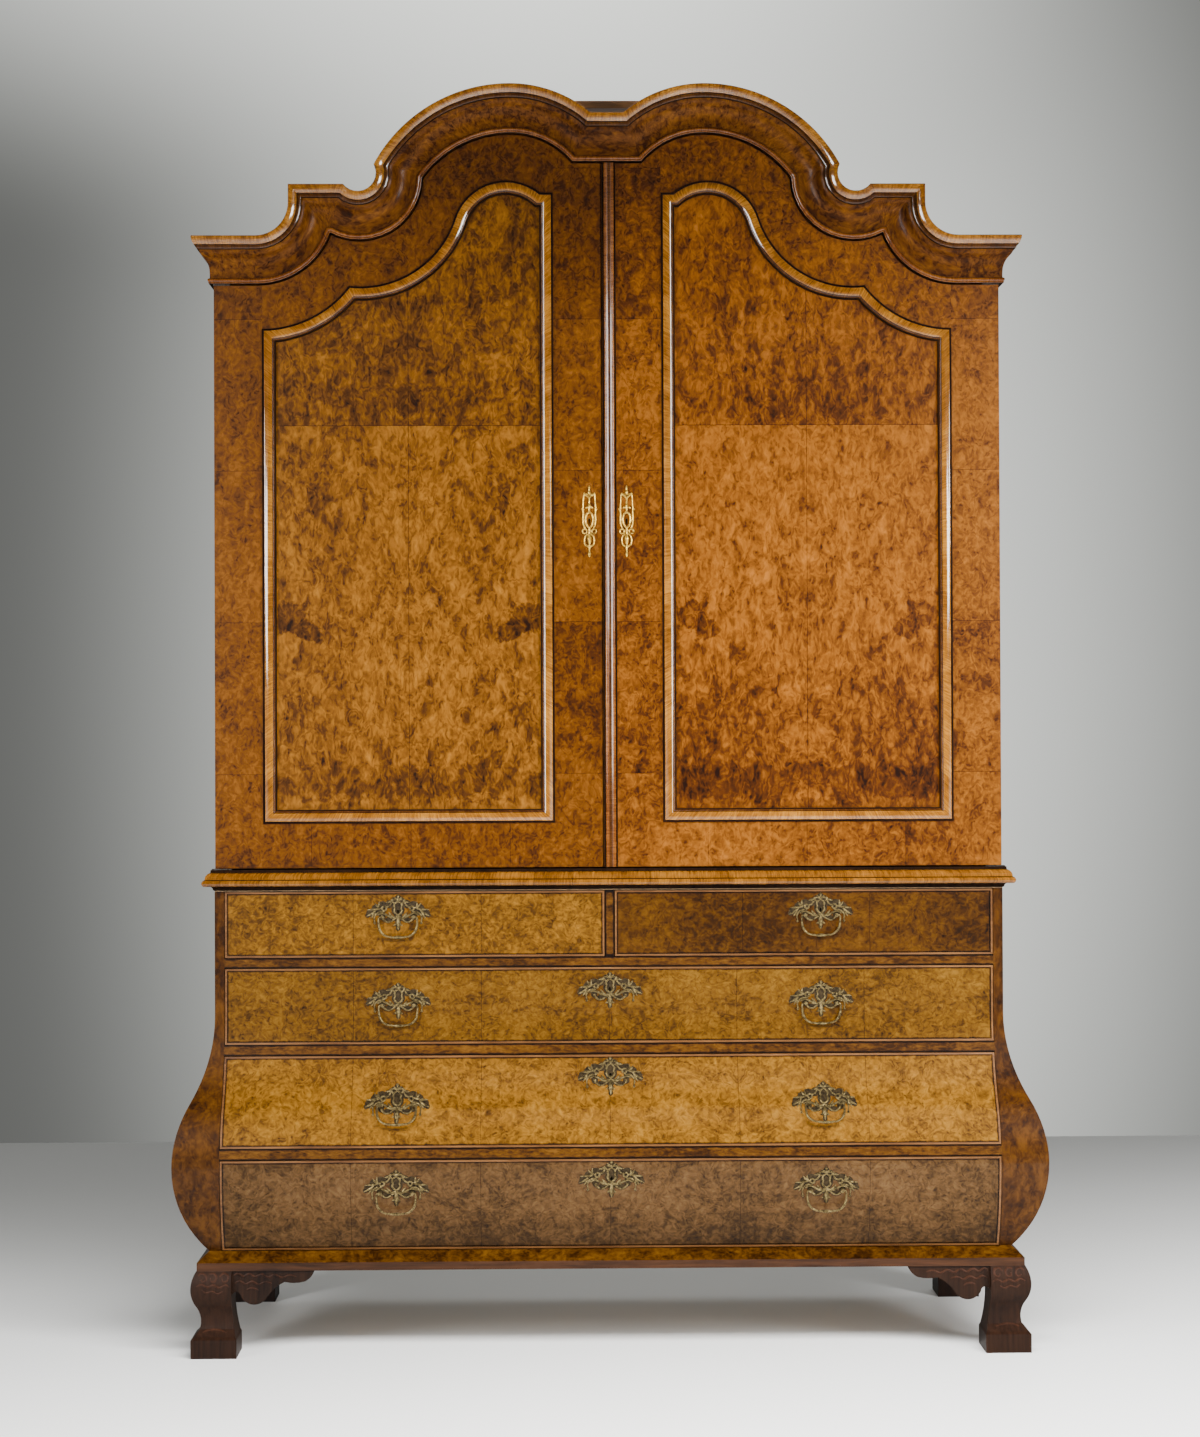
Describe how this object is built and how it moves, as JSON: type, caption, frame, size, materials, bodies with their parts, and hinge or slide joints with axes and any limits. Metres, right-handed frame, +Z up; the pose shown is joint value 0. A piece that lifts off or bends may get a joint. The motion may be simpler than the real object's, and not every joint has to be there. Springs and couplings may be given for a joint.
{
  "type": "kas cupboard",
  "caption": "Tall two-part cupboard: two arched panelled doors under a double-domed cornice, above a swelling chest of drawers on bracketed feet.",
  "frame": {"origin": "on the floor, under the middle of the whole piece", "axes": "+Z up, +X to the right seen from the front, -Y out of the doors"},
  "size_m": [1.7056, 0.6162, 2.489],
  "materials": {
    "burr_walnut": "polished burr veneer",
    "walnut_crossbanding": "polished cross-grain mouldings",
    "dark_walnut": "dark waxed",
    "oak": "old unpolished boards",
    "drawer_brass": "antique, cast and chased",
    "door_gilt": "gilt, cast and chased",
    "lock_iron": "forged, dull"
  },
  "bodies": {
    "case": {"upper_sides": "burr_walnut", "upper_floor_board": "oak", "upper_back": "oak", "shelves": "oak", "shelf_bearers": "oak", "cornice_board": "burr_walnut", "cornice_moulding": "walnut_crossbanding", "roof_boards": "oak", "cornice_platform": "oak", "lower_sides": "burr_walnut", "lower_top_board": "oak", "lower_bottom_board": "oak", "lower_back": "oak", "waist_moulding": "walnut_crossbanding", "base_frame": "walnut_crossbanding", "front_feet": "dark_walnut", "rear_feet": "dark_walnut", "foot_brackets": "dark_walnut", "door_pivots": "lock_iron", "drawer_rails": "burr_walnut", "drawer_runners": "oak"},
    "left_door": {"left_door_frame": "burr_walnut", "left_door_panel": "burr_walnut", "left_door_moulding": "walnut_crossbanding", "left_door_escutcheon": "door_gilt"},
    "right_door": {"right_door_frame": "burr_walnut", "right_door_panel": "burr_walnut", "right_door_moulding": "walnut_crossbanding", "right_door_escutcheon": "door_gilt", "meeting_strip": "walnut_crossbanding", "door_lock": "lock_iron"},
    "door_lock_bolt": {"door_lock_bolt": "lock_iron"},
    "bottom_drawer": {"bottom_drawer_front": "burr_walnut", "bottom_drawer_box": "oak", "bottom_drawer_fittings": "drawer_brass"},
    "bottom_drawer_lock_bolt": {"bottom_drawer_lock_bolt": "lock_iron"},
    "bottom_drawer_left_bail": {"bottom_drawer_left_bail": "drawer_brass"},
    "bottom_drawer_right_bail": {"bottom_drawer_right_bail": "drawer_brass"},
    "third_drawer": {"third_drawer_front": "burr_walnut", "third_drawer_box": "oak", "third_drawer_fittings": "drawer_brass"},
    "third_drawer_lock_bolt": {"third_drawer_lock_bolt": "lock_iron"},
    "third_drawer_left_bail": {"third_drawer_left_bail": "drawer_brass"},
    "third_drawer_right_bail": {"third_drawer_right_bail": "drawer_brass"},
    "second_drawer": {"second_drawer_front": "burr_walnut", "second_drawer_box": "oak", "second_drawer_fittings": "drawer_brass"},
    "second_drawer_lock_bolt": {"second_drawer_lock_bolt": "lock_iron"},
    "second_drawer_left_bail": {"second_drawer_left_bail": "drawer_brass"},
    "second_drawer_right_bail": {"second_drawer_right_bail": "drawer_brass"},
    "top_left_drawer": {"top_left_drawer_front": "burr_walnut", "top_left_drawer_box": "oak", "top_left_drawer_fittings": "drawer_brass"},
    "top_left_drawer_lock_bolt": {"top_left_drawer_lock_bolt": "lock_iron"},
    "top_left_drawer_bail": {"top_left_drawer_bail": "drawer_brass"},
    "top_right_drawer": {"top_right_drawer_front": "burr_walnut", "top_right_drawer_box": "oak", "top_right_drawer_fittings": "drawer_brass"},
    "top_right_drawer_lock_bolt": {"top_right_drawer_lock_bolt": "lock_iron"},
    "top_right_drawer_bail": {"top_right_drawer_bail": "drawer_brass"}
  },
  "joints": [
    {"name": "left_door_pivot", "type": "hinge", "parent": "case", "child": "left_door", "pos_m": [-0.768, -0.19691, 1.5685], "axis": [0, 0, -1], "range_deg": [0, 108]},
    {"name": "right_door_pivot", "type": "hinge", "parent": "case", "child": "right_door", "pos_m": [0.768, -0.19691, 1.5685], "axis": [0, 0, 1], "range_deg": [0, 108]},
    {"name": "door_lock_bolt_slide", "type": "slide", "parent": "right_door", "child": "door_lock_bolt", "axis": [-1, 0, 0], "range_m": [0, 0.012]},
    {"name": "bottom_drawer_slide", "type": "slide", "parent": "case", "child": "bottom_drawer", "axis": [0, -1, 0], "range_m": [0, 0.38]},
    {"name": "bottom_drawer_lock_bolt_slide", "type": "slide", "parent": "bottom_drawer", "child": "bottom_drawer_lock_bolt", "axis": [0, 0, 1], "range_m": [0, 0.009]},
    {"name": "bottom_drawer_left_bail_swing", "type": "hinge", "parent": "bottom_drawer", "child": "bottom_drawer_left_bail", "pos_m": [-0.418, -0.30268, 0.32082], "axis": [-1, 0, 0], "range_deg": [0, 80]},
    {"name": "bottom_drawer_right_bail_swing", "type": "hinge", "parent": "bottom_drawer", "child": "bottom_drawer_right_bail", "pos_m": [0.418, -0.30268, 0.32082], "axis": [-1, 0, 0], "range_deg": [0, 80]},
    {"name": "third_drawer_slide", "type": "slide", "parent": "case", "child": "third_drawer", "axis": [0, -1, 0], "range_m": [0, 0.38]},
    {"name": "third_drawer_lock_bolt_slide", "type": "slide", "parent": "third_drawer", "child": "third_drawer_lock_bolt", "axis": [0, 0, 1], "range_m": [0, 0.009]},
    {"name": "third_drawer_left_bail_swing", "type": "hinge", "parent": "third_drawer", "child": "third_drawer_left_bail", "pos_m": [-0.418, -0.27277, 0.48576], "axis": [-1, 0, 0], "range_deg": [0, 80]},
    {"name": "third_drawer_right_bail_swing", "type": "hinge", "parent": "third_drawer", "child": "third_drawer_right_bail", "pos_m": [0.418, -0.27277, 0.48576], "axis": [-1, 0, 0], "range_deg": [0, 80]},
    {"name": "second_drawer_slide", "type": "slide", "parent": "case", "child": "second_drawer", "axis": [0, -1, 0], "range_m": [0, 0.38]},
    {"name": "second_drawer_lock_bolt_slide", "type": "slide", "parent": "second_drawer", "child": "second_drawer_lock_bolt", "axis": [0, 0, 1], "range_m": [0, 0.009]},
    {"name": "second_drawer_left_bail_swing", "type": "hinge", "parent": "second_drawer", "child": "second_drawer_left_bail", "pos_m": [-0.418, -0.21591, 0.676], "axis": [-1, 0, 0], "range_deg": [0, 80]},
    {"name": "second_drawer_right_bail_swing", "type": "hinge", "parent": "second_drawer", "child": "second_drawer_right_bail", "pos_m": [0.418, -0.21591, 0.676], "axis": [-1, 0, 0], "range_deg": [0, 80]},
    {"name": "top_left_drawer_slide", "type": "slide", "parent": "case", "child": "top_left_drawer", "axis": [0, -1, 0], "range_m": [0, 0.38]},
    {"name": "top_left_drawer_lock_bolt_slide", "type": "slide", "parent": "top_left_drawer", "child": "top_left_drawer_lock_bolt", "axis": [0, 0, 1], "range_m": [0, 0.009]},
    {"name": "top_left_drawer_bail_swing", "type": "hinge", "parent": "top_left_drawer", "child": "top_left_drawer_bail", "pos_m": [-0.418, -0.21591, 0.85], "axis": [-1, 0, 0], "range_deg": [0, 80]},
    {"name": "top_right_drawer_slide", "type": "slide", "parent": "case", "child": "top_right_drawer", "axis": [0, -1, 0], "range_m": [0, 0.38]},
    {"name": "top_right_drawer_lock_bolt_slide", "type": "slide", "parent": "top_right_drawer", "child": "top_right_drawer_lock_bolt", "axis": [0, 0, 1], "range_m": [0, 0.009]},
    {"name": "top_right_drawer_bail_swing", "type": "hinge", "parent": "top_right_drawer", "child": "top_right_drawer_bail", "pos_m": [0.418, -0.21591, 0.85], "axis": [-1, 0, 0], "range_deg": [0, 80]}
  ]
}
